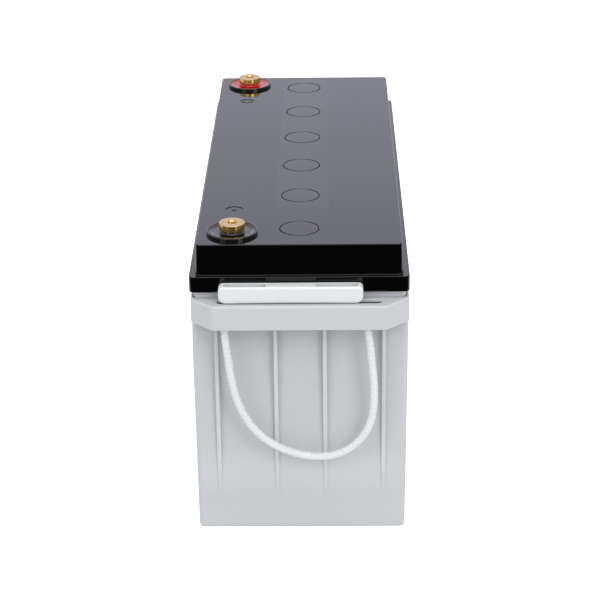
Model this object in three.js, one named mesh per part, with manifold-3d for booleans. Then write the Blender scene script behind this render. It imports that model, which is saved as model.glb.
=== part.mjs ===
// Deep cycle battery: a 12 V valve-regulated block with six cells and a rope handle at each end.
// Millimetres. X is the width, Y the length, +Z up, and the origin is the centre of the base.
// Both terminals are on the -X side, the negative one at -Y.
import * as THREE from 'three';
import { mergeVertices } from 'three/addons/utils/BufferGeometryUtils.js';
import Module from 'manifold-3d';

const wasm = await Module();
wasm.setup();

// ---- driving dimensions ----
const width = 170; // over the lid flange
const length = 483; // over the two handle ledges
const lidTop = 246;
const cells = 6;
const gap = 0.3; // between pieces that rest on or fit in each other

const wall = 3.5;
const partition = 2.4;
const cornerRadius = 4;

const caseHalfX = { base: 82.75, pocket: 83, ledge: 84.3, neck: 82.2 };
const caseHalfY = { base: 222, ledge: 215, neck: 222 };
const cavityHalfX = 79;
const floorZ = 4;
const pocketZ = 28.5; // the end walls lean in from here up to the ledge
const rimZ = 217.8;

const ledge = { bottom: 183, top: 203, plate: 4, skirt: 3.5, halfX: 84.5, chamfer: 17.5 };
const rib = { positions: [-65.5, -19.3, 19.3, 65.5], thickness: 3 };
const slot = { inner: 38, outer: 63.5, y: -231.6, wide: 6.2 };

const flange = { bottom: 208.3, top: 221.1, halfY: 225.5, plate: 3 };
const block = { baseX: 80.1, baseY: 222, topX: 79.5, topY: 221, wall: 3.4, roof: 3 };

const ventPitch = 74.6;
const vent = { coverRadius: 15, wellRadius: 15.6, seatRadius: 13.4, cover: 2.3, depth: 9.6, cup: 2 };
const snapRing = { inner: 11.4, outer: 12.9, drop: 3.4 }; // under each vent cover
const chimney = { radius: 6.4, bore: 1.6, top: lidTop - 4.4 };
const valveCap = { radius: 8.2, crown: 1.2 };

const terminal = { x: -52, y: 195, top: 254.8, radius: 10.1, head: 5.4, stem: 8, bottom: 226, edge: 0.6 };
const tapping = { radius: 3.5, depth: 18 }; // for the terminal's M8 bolt
const well = { radius: 17.9, floor: 242, boss: 20.2, rim: 2.6, bossFloor: 4, edge: 0.5 };
const seal = { bottom: 3.4, rimStep: 3, rimTop: 2.1, dish: 1.5, foot: 2, collar: 0.8 };
const oRing = { tube: 1.3, tubeSides: 6, sides: 18 };
const mark = { x: -52.6, y: 144, radius: 7.1, line: 0.8, deep: 0.4, bar: 5.6 };

const plate = { halfX: 77, bottom: 8, top: 183, positive: 3.2, negative: 2.4, lug: 11, perCell: 15 };
const mat = { thickness: 1.5, halfX: 78.5, bottom: 5, top: 187, clear: 0.15 };
const strap = { x: 52, width: 15, bottom: 197.5, top: 204 };
const link = { width: 11, bottom: 197.8, top: 203.6, window: 1.5 };
const post = { radius: 7 };
const rounds = { vent: 20, cap: 12, well: 24, mark: 20, terminal: 24, post: 14 }; // sides of round pieces

const rope = { diameter: 5.5, sides: 8, y: slot.y };
const grip = { x: -6.5, halfX: 55.5, back: -226.2, front: -237, bottom: 203.3, top: 217.2, wall: 1.9 };
const gripCorner = { upper: 3.4, lower: 5.5 };
const gripWindow = { inner: 19.2, outer: 51.3, bridge: 2 };
const gripHole = { inner: 43.6, outer: 51.3 };

// The hanging loop's centreline, as [x, z] in the plane y = rope.y, from the left slot to the right.
const loopRoute = [
  [-55, 203.1], [-55.2, 200.5], [-56.2, 195], [-57.6, 187.5], [-58, 178.5], [-57.3, 168], [-56, 157.5],
  [-53.8, 139], [-50.2, 121.7], [-44.4, 106.6], [-36.8, 94.2], [-27.9, 85.2], [-18.6, 78.6],
  [-8.8, 74], [2.5, 70.6], [13.8, 69.4], [25.2, 70.6], [36.4, 75.4], [45.6, 83.2],
  [52, 92.6], [55.6, 102.9], [57.3, 114.4], [57.6, 126.5], [57, 138.8], [55.6, 154],
  [54.2, 168], [52.7, 178.8], [50.4, 185.7], [47.4, 190.3], [44.4, 194.9], [42.6, 198.9], [42, 203.1],
];
// The run inside the grip, from its left hole to its right hole.
const gripRoute = [
  [-55, 203.5], [-54.6, 205.8], [-53.4, 207.6], [-51.6, 208.8], [-49.2, 209.2], [-30, 209.2],
  [-6.5, 209.2], [17, 209.2], [36.2, 209.2], [38.6, 208.8], [40.4, 207.6], [41.6, 205.8], [42, 203.5],
];

// ---- derived places ----
const pitch = (2 * (caseHalfY.ledge - wall) + partition) / cells;
const partitionYs = Array.from({ length: cells - 1 }, (_, i) => (i + 1 - cells / 2) * pitch);
const ventYs = Array.from({ length: cells }, (_, i) => (i - (cells - 1) / 2) * ventPitch);
const cellYs = Array.from({ length: cells }, (_, i) => (i - (cells - 1) / 2) * pitch);

// ---- materials ----
function finish(color, roughness, metalness = 0) {
  return new THREE.MeshStandardMaterial({ color, roughness, metalness });
}
const greyCase = () => finish(0xc4c8cc, 0.45);
const blackLid = () => finish(0x17171a, 0.12);
const whiteGrip = () => finish(0xe6e9eb, 0.4);
const whiteRope = () => finish(0xe8ecf0, 0.7);
const brass = () => finish(0xc9a25a, 0.3, 1);
const redSeal = () => finish(0xb01414, 0.15);
const blackSeal = () => finish(0x1b1b1e, 0.15);
const rubber = () => finish(0x2b2b2b, 0.8);
const leadGrey = () => finish(0x8a8d92, 0.5, 0.8);
const positivePaste = () => finish(0x4a342c, 0.9);
const negativePaste = () => finish(0x777b80, 0.8);
const glassMat = () => finish(0xf0efe9, 0.95);

// ---- solids: geometry in, geometry out, with manifold-3d for cuts and joins ----
function toSolid(geometry) {
  const bare = geometry.clone();
  bare.deleteAttribute('normal');
  bare.deleteAttribute('uv');
  const merged = mergeVertices(bare, 1e-3);
  const index = merged.index.array;
  const triVerts = [];
  for (let i = 0; i < index.length; i += 3) {
    const [a, b, c] = [index[i], index[i + 1], index[i + 2]];
    if (a !== b && b !== c && c !== a) triVerts.push(a, b, c);
  }
  return new wasm.Manifold(new wasm.Mesh({
    numProp: 3,
    vertProperties: new Float32Array(merged.attributes.position.array),
    triVerts: new Uint32Array(triVerts),
  }));
}

function toGeometry(solid) {
  const mesh = solid.getMesh();
  const geometry = new THREE.BufferGeometry();
  geometry.setAttribute('position', new THREE.BufferAttribute(new Float32Array(mesh.vertProperties), 3));
  geometry.setIndex(new THREE.BufferAttribute(new Uint32Array(mesh.triVerts), 1));
  geometry.computeVertexNormals();
  return geometry;
}

const join = (first, ...rest) => rest.reduce((sum, solid) => sum.add(solid), first);
const cut = (first, ...rest) => rest.reduce((sum, solid) => sum.subtract(solid), first);

function boxSolid([x0, x1], [y0, y1], [z0, z1]) {
  const geometry = new THREE.BoxGeometry(x1 - x0, y1 - y0, z1 - z0);
  return toSolid(geometry.translate((x0 + x1) / 2, (y0 + y1) / 2, (z0 + z1) / 2));
}

// A box centred in X and Y.
const midBox = (x, y, halfX, halfY, z) => boxSolid([x - halfX, x + halfX], [y - halfY, y + halfY], z);

function roundedRect(halfX, halfY, radius) {
  const shape = new THREE.Shape();
  shape.absarc(halfX - radius, halfY - radius, radius, 0, Math.PI / 2);
  shape.absarc(radius - halfX, halfY - radius, radius, Math.PI / 2, Math.PI);
  shape.absarc(radius - halfX, radius - halfY, radius, Math.PI, Math.PI * 1.5);
  shape.absarc(halfX - radius, radius - halfY, radius, Math.PI * 1.5, Math.PI * 2);
  return shape;
}

function extrudeUp(shape, [z0, z1], curveSegments = 2) {
  const geometry = new THREE.ExtrudeGeometry(shape, { depth: z1 - z0, bevelEnabled: false, curveSegments });
  return geometry.translate(0, 0, z0);
}

// A rounded block whose half sizes change from the first to the second value over its height.
function draftedBlock([x0, x1], [y0, y1], z, radius = cornerRadius) {
  const geometry = extrudeUp(roundedRect(x0, y0, radius), z);
  const position = geometry.attributes.position;
  const middle = (z[0] + z[1]) / 2;
  for (let i = 0; i < position.count; i += 1) {
    if (position.getZ(i) > middle) {
      position.setX(i, position.getX(i) * (x1 / x0));
      position.setY(i, position.getY(i) * (y1 / y0));
    }
  }
  return toSolid(geometry);
}

function prism(points, z) {
  return toSolid(extrudeUp(new THREE.Shape(points.map(([x, y]) => new THREE.Vector2(x, y))), z));
}

// A solid of revolution about the Z axis. The profile is a list of [radius, z], walked anticlockwise
// with the radius to the right, and it starts and ends on the axis or closes on itself.
function turned(profile, segments = 32) {
  const points = profile.map(([r, z]) => new THREE.Vector2(r, z));
  return toSolid(new THREE.LatheGeometry(points, segments).rotateX(Math.PI / 2));
}

const disc = (radius, [z0, z1], segments) => turned([[0, z0], [radius, z0], [radius, z1], [0, z1]], segments);

function ropeSolid(route, steps) {
  const path = new THREE.CatmullRomCurve3(
    route.map(([x, z]) => new THREE.Vector3(x, rope.y, z)), false, 'centripetal');
  const section = new THREE.Shape();
  section.absarc(0, 0, rope.diameter / 2, 0, Math.PI * 2);
  const options = { steps, extrudePath: path, curveSegments: rope.sides / 2, bevelEnabled: false };
  return new THREE.ExtrudeGeometry(section, options);
}

const turnedRound = (solid) => solid.rotate([0, 0, 180]);

// ---- case ----
function ledgeOutline(inset) {
  const halfX = ledge.halfX - inset;
  const front = length / 2 - inset;
  const chamferSum = ledge.halfX + length / 2 - ledge.chamfer - inset * Math.SQRT2;
  const back = caseHalfY.ledge - (inset ? 0 : wall / 2);
  return [
    [-halfX, -back], [-halfX, halfX - chamferSum], [front - chamferSum, -front],
    [chamferSum - front, -front], [halfX, halfX - chamferSum], [halfX, -back],
  ];
}

function slotSolid(side) {
  const radius = slot.wide / 2;
  const shape = roundedRect((slot.outer - slot.inner) / 2, radius, radius - 0.01);
  const solid = toSolid(extrudeUp(shape, [ledge.top - ledge.plate - 1, ledge.top + 1]));
  return solid.translate([side * (slot.inner + slot.outer) / 2, slot.y, 0]);
}

function endLedge() {
  const outer = prism(ledgeOutline(0), [ledge.bottom, ledge.top]);
  const under = prism(ledgeOutline(ledge.skirt), [ledge.bottom - 1, ledge.top - ledge.plate]);
  const body = cut(outer, under, slotSolid(-1), slotSolid(1));
  const ribs = rib.positions.map((x) => boxSolid(
    [x - rib.thickness / 2, x + rib.thickness / 2],
    [-caseHalfY.base, 1 - caseHalfY.ledge], [pocketZ, ledge.top - ledge.plate / 2]));
  return join(body, ...ribs);
}

function caseCavity() {
  const lower = caseHalfY.base - wall;
  const upper = caseHalfY.ledge - wall;
  const x = [cavityHalfX, cavityHalfX];
  const radius = cornerRadius - 1;
  const space = join(
    draftedBlock(x, [lower, lower], [floorZ, pocketZ], radius),
    draftedBlock(x, [lower, upper], [pocketZ, ledge.bottom], radius),
    draftedBlock(x, [upper, upper], [ledge.bottom, ledge.top], radius),
    draftedBlock(x, [caseHalfY.neck - wall, caseHalfY.neck - wall], [ledge.top, rimZ + 1], radius));
  const walls = partitionYs.map((y) => midBox(0, y, width, partition / 2, [0, rimZ + 2]));
  return cut(space, ...walls);
}

// The strap links pass through a window in each partition, on alternate sides.
const linkX = (index) => (index % 2 === 0 ? strap.x : -strap.x);

function caseSolid() {
  const { base, pocket, ledge: upperX, neck } = caseHalfX;
  const shell = join(
    draftedBlock([base, pocket], [caseHalfY.base, caseHalfY.base], [0, pocketZ]),
    draftedBlock([pocket, upperX], [caseHalfY.base, caseHalfY.ledge], [pocketZ, ledge.bottom]),
    draftedBlock([upperX, ledge.halfX], [caseHalfY.ledge, caseHalfY.ledge], [ledge.bottom, ledge.top]),
    draftedBlock([neck, neck], [caseHalfY.neck, caseHalfY.neck], [ledge.top - 1, rimZ]),
    endLedge(), turnedRound(endLedge()));
  const windows = partitionYs.map((y, i) => midBox(
    linkX(i), y, link.width / 2 + link.window, partition, [link.bottom - link.window, link.top + link.window]));
  return cut(shell, caseCavity(), ...windows);
}

// ---- lid ----
function ventWell(y) {
  const floor = lidTop - vent.depth;
  const step = lidTop - vent.cover - gap;
  const hollow = turned([
    [chimney.radius, floor], [vent.seatRadius, floor], [vent.seatRadius, step], [vent.wellRadius, step],
    [vent.wellRadius, lidTop + 1], [0, lidTop + 1], [0, chimney.top], [chimney.radius, chimney.top],
    [chimney.radius, floor],
  ], rounds.vent);
  return hollow.translate([0, y, 0]);
}

function ventCup(y) {
  const floor = lidTop - vent.depth - vent.cup;
  return disc(vent.wellRadius + vent.cup, [floor, lidTop - 1], rounds.vent).translate([0, y, 0]);
}

const chimneyBore = (y) => disc(chimney.bore, [lidTop - vent.depth - 3, lidTop], 8).translate([0, y, 0]);

function terminalBoss(y) {
  const rim = turned([
    [0, well.floor - well.bossFloor], [well.boss, well.floor - well.bossFloor],
    [well.boss, lidTop + well.rim - well.edge], [well.boss - well.edge, lidTop + well.rim],
    [0, lidTop + well.rim],
  ], rounds.well);
  return rim.translate([terminal.x, y, 0]);
}

function terminalWell(y) {
  const hollow = turned([
    [0, well.floor - well.bossFloor - 1], [terminal.stem + gap, well.floor - well.bossFloor - 1],
    [terminal.stem + gap, well.floor], [well.radius, well.floor],
    [well.radius, lidTop + well.rim + 1], [0, lidTop + well.rim + 1],
  ], rounds.well);
  return hollow.translate([terminal.x, y, 0]);
}

function polarityMark(y, positive) {
  const z = [lidTop - mark.deep, lidTop + 1];
  const outer = disc(mark.radius, z, rounds.mark);
  const circle = cut(outer, disc(mark.radius - mark.line, [z[0] - 1, z[1] + 1], rounds.mark));
  const bars = [midBox(0, 0, mark.bar, mark.line / 2, z)];
  if (positive) bars.push(midBox(0, 0, mark.line / 2, mark.bar, z));
  return join(circle, ...bars).translate([mark.x, y, 0]);
}

function lidSolid() {
  const neckX = caseHalfX.neck + gap;
  const neckY = caseHalfY.neck + gap;
  const outer = join(
    draftedBlock([width / 2, width / 2], [flange.halfY, flange.halfY], [flange.bottom, flange.top]),
    draftedBlock([block.baseX, block.topX], [block.baseY, block.topY], [flange.top - 1, lidTop]),
    terminalBoss(-terminal.y), terminalBoss(terminal.y));
  const skirt = draftedBlock(
    [neckX, neckX], [neckY, neckY], [flange.bottom - 1, flange.top - flange.plate], cornerRadius);
  const innerX = block.topX - block.wall;
  const innerY = block.topY - block.wall;
  const ceiling = lidTop - block.roof;
  const inside = cut(
    draftedBlock([innerX, innerX], [innerY, innerY], [flange.top - flange.plate - 1, ceiling], 3),
    ...partitionYs.map((y) => midBox(0, y, width, partition / 2, [flange.top - flange.plate, lidTop])),
    ...ventYs.map(ventCup),
    terminalBoss(-terminal.y), terminalBoss(terminal.y));
  return cut(
    outer, skirt, inside, ...ventYs.map(ventWell), ...ventYs.map(chimneyBore),
    terminalWell(-terminal.y), terminalWell(terminal.y),
    polarityMark(-mark.y, false), polarityMark(mark.y, true));
}

// ---- vents ----
function ventCoverSolid() {
  const bottom = lidTop - vent.cover;
  const { inner, outer, drop } = snapRing;
  return turned([
    [0, bottom], [inner, bottom], [inner, bottom - drop], [outer, bottom - drop], [outer, bottom],
    [vent.coverRadius, bottom], [vent.coverRadius, lidTop], [0, lidTop],
  ], rounds.vent);
}

function valveCapSolid() {
  const bottom = lidTop - vent.depth + gap;
  const ceiling = chimney.top + gap;
  const inner = chimney.radius + gap;
  const { radius, crown } = valveCap;
  return turned([
    [0, ceiling], [inner, ceiling], [inner, bottom], [radius, bottom], [radius, ceiling + crown],
    [0, ceiling + crown],
  ], rounds.cap);
}

// ---- terminals ----
function terminalSolid() {
  const { top, radius, head, stem, bottom, edge } = terminal;
  return turned([
    [0, bottom], [stem, bottom], [stem, top - head], [radius, top - head], [radius, top - edge],
    [radius - edge, top], [tapping.radius, top], [tapping.radius, top - tapping.depth],
    [0, top - tapping.depth],
  ], rounds.terminal);
}

function sealSolid() {
  const inner = terminal.stem + gap;
  const outer = well.radius - gap;
  const bottom = well.floor + seal.bottom;
  const crest = terminal.top - terminal.head - gap;
  return turned([
    [inner, bottom], [outer, bottom], [outer, lidTop + seal.rimTop],
    [outer - seal.rimStep, lidTop + seal.dish], [inner + seal.foot, lidTop + seal.dish],
    [inner + seal.collar, crest], [inner, crest], [inner, bottom],
  ], rounds.well);
}

function oRingSolid() {
  const { tube, tubeSides, sides } = oRing;
  const geometry = new THREE.TorusGeometry(terminal.stem + gap + tube, tube, tubeSides, sides);
  return geometry.translate(0, 0, well.floor + gap + tube);
}

function postSolid() {
  return disc(post.radius, [strap.top + gap, terminal.bottom - gap], rounds.post);
}

// ---- cells ----
const stackHalf = (() => {
  const negatives = Math.ceil(plate.perCell / 2) * plate.negative;
  const positives = Math.floor(plate.perCell / 2) * plate.positive;
  const mats = (plate.perCell - 1) * (mat.thickness + 2 * mat.clear);
  return (negatives + positives + mats) / 2;
})();

// Where each plate of the stack starts and how thick it is. Even plates are negative.
const plates = (() => {
  const list = [];
  let y = -stackHalf;
  for (let i = 0; i < plate.perCell; i += 1) {
    const thickness = i % 2 === 0 ? plate.negative : plate.positive;
    list.push({ y, thickness, negative: i % 2 === 0 });
    y += thickness + mat.thickness + 2 * mat.clear;
  }
  return list;
})();

function plateSolid(lugX, { y, thickness }) {
  const { halfX, bottom, top, lug } = plate;
  const shape = new THREE.Shape([
    [-halfX, bottom], [halfX, bottom], [halfX, top], [lugX + lug / 2, top],
    [lugX + lug / 2, strap.bottom + 1], [lugX - lug / 2, strap.bottom + 1], [lugX - lug / 2, top],
    [-halfX, top],
  ].map(([x, z]) => new THREE.Vector2(x, z)));
  const geometry = new THREE.ExtrudeGeometry(shape, { depth: thickness, bevelEnabled: false });
  return toSolid(geometry.rotateX(Math.PI / 2).translate(0, y + thickness, 0));
}

function plateGroupSolid(negative, lugX) {
  const own = plates.filter((item) => item.negative === negative);
  const last = own[own.length - 1];
  const bar = boxSolid(
    [lugX - strap.width / 2, lugX + strap.width / 2], [own[0].y, last.y + last.thickness],
    [strap.bottom, strap.top]);
  return join(bar, ...own.map((item) => plateSolid(lugX, item)));
}

// One mat folded round the plates' side edges: a block with a pocket for each inner plate, open on
// alternate sides.
function separatorSolid() {
  const inner = plate.halfX + gap;
  const outer = mat.halfX;
  const pockets = plates.slice(1, -1).map(({ y, thickness }, i) => {
    const open = i % 2 === 0 ? -1 : 1;
    return [open, y - mat.clear, y + thickness + mat.clear];
  });
  const first = plates[0].y + plates[0].thickness + mat.clear;
  const last = plates[plates.length - 1].y - mat.clear;
  const notch = ([side, low, high], up) => {
    const [a, b] = up ? [low, high] : [high, low];
    return [[side * outer, a], [-side * inner, a], [-side * inner, b], [side * outer, b]];
  };
  const right = pockets.filter(([open]) => open > 0).flatMap((pocket) => notch(pocket, true));
  const left = pockets.filter(([open]) => open < 0).reverse().flatMap((pocket) => notch(pocket, false));
  const outline = [[-outer, first], [outer, first], ...right, [outer, last], [-outer, last], ...left];
  return prism(outline, [mat.bottom, mat.top]);
}

function linkSolid(index) {
  const half = plates.filter((item) => !item.negative)[0].y;
  const y0 = cellYs[index] - half + gap;
  const y1 = cellYs[index + 1] - stackHalf - gap;
  const x = linkX(index);
  return boxSolid([x - link.width / 2, x + link.width / 2], [y0, y1], [link.bottom, link.top]);
}

// ---- handles ----
function gripOutline() {
  const { halfX, bottom, top } = grip;
  const { upper, lower } = gripCorner;
  const shape = new THREE.Shape();
  shape.absarc(halfX - upper, top - upper, upper, 0, Math.PI / 2);
  shape.absarc(upper - halfX, top - upper, upper, Math.PI / 2, Math.PI);
  shape.absarc(lower - halfX, bottom + lower, lower, Math.PI, Math.PI * 1.5);
  shape.absarc(halfX - lower, bottom + lower, lower, Math.PI * 1.5, Math.PI * 2);
  return shape;
}

function gripSolid() {
  const { back, front, bottom, top, wall: side } = grip;
  const depth = back - front;
  const body = new THREE.ExtrudeGeometry(gripOutline(), { depth, bevelEnabled: false, curveSegments: 4 });
  const outer = toSolid(body.rotateX(Math.PI / 2).translate(0, back, 0));
  const inner = [front + side, back - side];
  const trough = boxSolid([-gripWindow.outer, gripWindow.outer], inner, [bottom + side, top + 1]);
  const bridge = boxSolid(
    [-gripWindow.inner, gripWindow.inner], [inner[0] - side / 2, inner[1] + side / 2],
    [top - gripWindow.bridge, top]);
  const holes = [-1, 1].map((s) => boxSolid(
    [Math.min(s * gripHole.inner, s * gripHole.outer), Math.max(s * gripHole.inner, s * gripHole.outer)],
    inner, [bottom - 1, top]));
  return join(cut(outer, trough, ...holes), bridge).translate([grip.x, 0, 0]);
}

// ---- assembly ----
const battery = new THREE.Group();

function addPart(name, shape, material, position = [0, 0, 0]) {
  const geometry = shape instanceof THREE.BufferGeometry ? shape : toGeometry(shape);
  const mesh = new THREE.Mesh(geometry, material);
  mesh.name = name;
  mesh.position.set(...position);
  battery.add(mesh);
  return mesh;
}

addPart('case', caseSolid(), greyCase());
addPart('lid', lidSolid(), blackLid());

for (let i = 0; i < cells; i += 1) {
  const n = i + 1;
  const negativeX = i % 2 === 0 ? -strap.x : strap.x;
  addPart(`vent_cover_${n}`, ventCoverSolid(), blackLid(), [0, ventYs[i], 0]);
  addPart(`valve_cap_${n}`, valveCapSolid(), rubber(), [0, ventYs[i], 0]);
  addPart(`negative_plates_${n}`, plateGroupSolid(true, negativeX), negativePaste(), [0, cellYs[i], 0]);
  addPart(`positive_plates_${n}`, plateGroupSolid(false, -negativeX), positivePaste(), [0, cellYs[i], 0]);
  addPart(`separator_${n}`, separatorSolid(), glassMat(), [0, cellYs[i], 0]);
  if (i < cells - 1) addPart(`cell_link_${n}`, linkSolid(i), leadGrey());
}

for (const [name, y, sealFinish] of [
  ['negative', -terminal.y, blackSeal()], ['positive', terminal.y, redSeal()],
]) {
  addPart(`${name}_terminal`, terminalSolid(), brass(), [terminal.x, y, 0]);
  addPart(`${name}_seal`, sealSolid(), sealFinish, [terminal.x, y, 0]);
  addPart(`${name}_o_ring`, oRingSolid(), rubber(), [terminal.x, y, 0]);
  addPart(`${name}_post`, postSolid(), leadGrey(), [terminal.x, y, 0]);
}

// The rear handle is the front one turned half round the middle of the battery.
const loopSteps = 30;
const gripSteps = 16;
for (const [name, angle] of [['front', 0], ['rear', Math.PI]]) {
  const handle = [
    addPart(`${name}_grip`, gripSolid(), whiteGrip()),
    addPart(`${name}_rope_loop`, ropeSolid(loopRoute, loopSteps), whiteRope()),
    addPart(`${name}_grip_rope`, ropeSolid(gripRoute, gripSteps), whiteRope()),
  ];
  handle.forEach((mesh) => { mesh.rotation.z = angle; });
}

export default battery;
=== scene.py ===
# A deep cycle battery: grey case, glossy black lid with six vent covers, two brass terminals in
# coloured seals, and a rope handle with a white grip at each end. Metres, in the frame's own axes:
# X is the width, Y the length, Z up, and the origin is the centre of the base.
import math

import bmesh
import bpy
import numpy as np
from mathutils import Matrix, Vector


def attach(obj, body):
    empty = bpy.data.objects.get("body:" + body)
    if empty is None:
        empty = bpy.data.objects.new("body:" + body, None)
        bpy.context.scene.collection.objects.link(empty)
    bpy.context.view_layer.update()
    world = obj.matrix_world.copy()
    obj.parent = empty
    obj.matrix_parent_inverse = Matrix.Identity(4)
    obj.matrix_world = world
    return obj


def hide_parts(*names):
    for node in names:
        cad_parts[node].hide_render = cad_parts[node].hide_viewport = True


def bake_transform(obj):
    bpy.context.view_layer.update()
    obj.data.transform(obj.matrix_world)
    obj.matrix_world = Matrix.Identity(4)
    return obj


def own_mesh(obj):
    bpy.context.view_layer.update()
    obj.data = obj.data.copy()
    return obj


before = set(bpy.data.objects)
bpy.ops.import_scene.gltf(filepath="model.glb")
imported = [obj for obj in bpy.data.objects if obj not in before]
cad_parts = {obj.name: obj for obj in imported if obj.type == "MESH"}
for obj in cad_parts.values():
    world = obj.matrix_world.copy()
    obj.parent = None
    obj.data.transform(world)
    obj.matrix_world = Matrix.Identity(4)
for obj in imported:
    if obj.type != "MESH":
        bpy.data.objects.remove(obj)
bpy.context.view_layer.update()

scene = bpy.context.scene
mm = 0.001
past = 1      # mm that a cutting tool reaches past a face
bulge = 0.3   # where the middle point of a two-step rounding lies
batteryBody = "battery"
ends = {"front": 1, "rear": -1}   # the rear handle is the front one turned half round Z
cellCount = 6
print("frame loaded:", len(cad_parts), "nodes")


cameraSet = {"place": (0.02325, -1.59631, 0.78942), "yaw": -0.0166, "pitch": -0.4049,
             "roll": -0.0125, "lens": 116.26}


def makeCamera():
    yaw, pitch, roll = cameraSet["yaw"], cameraSet["pitch"], cameraSet["roll"]
    forward = Vector((math.sin(yaw) * math.cos(pitch), math.cos(yaw) * math.cos(pitch), math.sin(pitch)))
    level = Vector((math.cos(yaw), -math.sin(yaw), 0))
    upright = level.cross(forward)
    right = math.cos(roll) * level + math.sin(roll) * upright
    up = math.cos(roll) * upright - math.sin(roll) * level
    camera = bpy.data.objects.new("camera", bpy.data.cameras.new("camera"))
    scene.collection.objects.link(camera)
    camera.data.lens = cameraSet["lens"]
    turn = Matrix((right, up, -forward)).transposed()
    camera.matrix_world = Matrix.Translation(cameraSet["place"]) @ turn.to_4x4()
    scene.camera = camera


makeCamera()


def addObject(name, mesh):
    obj = bpy.data.objects.new(name, mesh)
    scene.collection.objects.link(obj)
    return obj


def meshFrom(name, points, faces):
    mesh = bpy.data.meshes.new(name)
    mesh.from_pydata([tuple(p) for p in points], [], faces)
    bm = bmesh.new()
    bm.from_mesh(mesh)
    bmesh.ops.recalc_face_normals(bm, faces=bm.faces)
    bm.to_mesh(mesh)
    bm.free()
    return mesh


# rings of equal count, in metres, capped at both ends
def loft(name, rings):
    count = len(rings[0])
    points = [p for ring in rings for p in ring]
    faces = [list(range(count)), list(range(len(points) - count, len(points)))]
    for i in range(len(rings) - 1):
        for k in range(count):
            n = (k + 1) % count
            faces.append([i * count + k, i * count + n, (i + 1) * count + n, (i + 1) * count + k])
    return meshFrom(name, points, faces)


# (a, b, radius) corners to a list of (a, b), with an arc at each corner that has a radius
def softened(corners, steps=4, closed=True):
    result = []
    count = len(corners)
    for i, (a, b, radius) in enumerate(corners):
        here = Vector((a, b))
        if not radius or (not closed and i in (0, count - 1)):
            result.append((a, b))
            continue
        before = (Vector(corners[i - 1][:2]) - here).normalized()
        after = (Vector(corners[(i + 1) % count][:2]) - here).normalized()
        half = before.angle(after) / 2
        reach = radius / math.tan(half)
        centre = here + (before + after).normalized() * radius / math.sin(half)
        start, stop = here + before * reach - centre, here + after * reach - centre
        sweep = start.angle_signed(stop)
        for k in range(steps + 1):
            result.append(tuple(centre + Matrix.Rotation(-sweep * k / steps, 2) @ start))
    return result


# millimetres to metres, for points in a plane or in space
def metres(points):
    return [tuple(v * mm for v in point) for point in points]


# (inset, rise) along a quarter round
def quarter(radius, steps=5):
    for k in range(steps + 1):
        angle = math.pi / 2 * k / steps
        yield radius * (1 - math.cos(angle)), radius * math.sin(angle)


# (inset, drop) along the same quarter round, with the drop measured from its top
def bend(radius, steps):
    for k in range(steps + 1):
        angle = math.pi / 2 * k / steps
        yield radius * (1 - math.cos(angle)), radius * (1 - math.sin(angle))


def arc(centreX, centreY, radius, start, steps):
    angles = [start + math.pi / 2 * k / steps for k in range(steps + 1)]
    return [(centreX + radius * math.cos(a), centreY + radius * math.sin(a)) for a in angles]


# a rectangle with round corners, in the units that it is given
def roundRect(halfX, halfY, radius, z, steps=8, centre=(0, 0)):
    corners = [(halfX, halfY, radius), (-halfX, halfY, radius), (-halfX, -halfY, radius),
               (halfX, -halfY, radius)]
    return [(centre[0] + x, centre[1] + y, z) for x, y in softened(corners, steps)]


# a solid of revolution: (radius, z) points that start and end on the axis or close on themselves
def turned(name, profile, sides=96):
    onAxis = 1e-9   # a smaller radius is one point on the axis
    angles = [2 * math.pi * k / sides for k in range(sides)]
    points, rows = [], []
    for radius, z in profile:
        ring = [(radius * math.cos(a), radius * math.sin(a), z) for a in angles]
        if radius < onAxis:
            ring = [(0, 0, z)]
        rows.append(list(range(len(points), len(points) + len(ring))))
        points += ring
    pairs = list(zip(rows, rows[1:]))
    if profile[0][0] > onAxis:
        pairs.append((rows[-1], rows[0]))
    faces = []
    for low, high in pairs:
        for k in range(sides):
            n = (k + 1) % sides
            if len(low) == 1 and len(high) == 1:
                continue
            if len(low) == 1:
                faces.append([low[0], high[n], high[k]])
            elif len(high) == 1:
                faces.append([low[k], low[n], high[0]])
            else:
                faces.append([low[k], low[n], high[n], high[k]])
    return meshFrom(name, points, faces)


# an upright cylinder, in millimetres
def rod(name, radius, low, high, sides):
    return turned(name, metres([(0, low), (radius, low), (radius, high), (0, high)]), sides)


# several meshes in one, each a closed shell of its own
def joined(name, meshes):
    bm = bmesh.new()
    for mesh in meshes:
        bm.from_mesh(mesh)
        bpy.data.meshes.remove(mesh)
    result = bpy.data.meshes.new(name)
    bm.to_mesh(result)
    bm.free()
    return result


def at(mesh, x, y):
    mesh.transform(Matrix.Translation((x * mm, y * mm, 0)))
    return mesh


def boxMesh(xs, ys, zs):
    rect = [(xs[0], ys[0]), (xs[1], ys[0]), (xs[1], ys[1]), (xs[0], ys[1])]
    return loft("box", [metres([(x, y, z) for x, y in rect]) for z in zs])


# an exact boolean, applied at once; the tool is a mesh and is used up
def carve(target, tool, how="DIFFERENCE"):
    toolObject = addObject("tool", tool)
    modifier = target.modifiers.new(how, "BOOLEAN")
    modifier.operation, modifier.solver, modifier.object = how, "EXACT", toolObject
    target.data = freshMesh(target)
    target.modifiers.clear()
    bpy.data.objects.remove(toolObject)
    bpy.data.meshes.remove(tool)


def freshMesh(obj):
    bpy.context.view_layer.update()
    depsgraph = bpy.context.evaluated_depsgraph_get()
    mesh = bpy.data.meshes.new_from_object(obj.evaluated_get(depsgraph))
    mesh.name = obj.name
    return mesh


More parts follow.
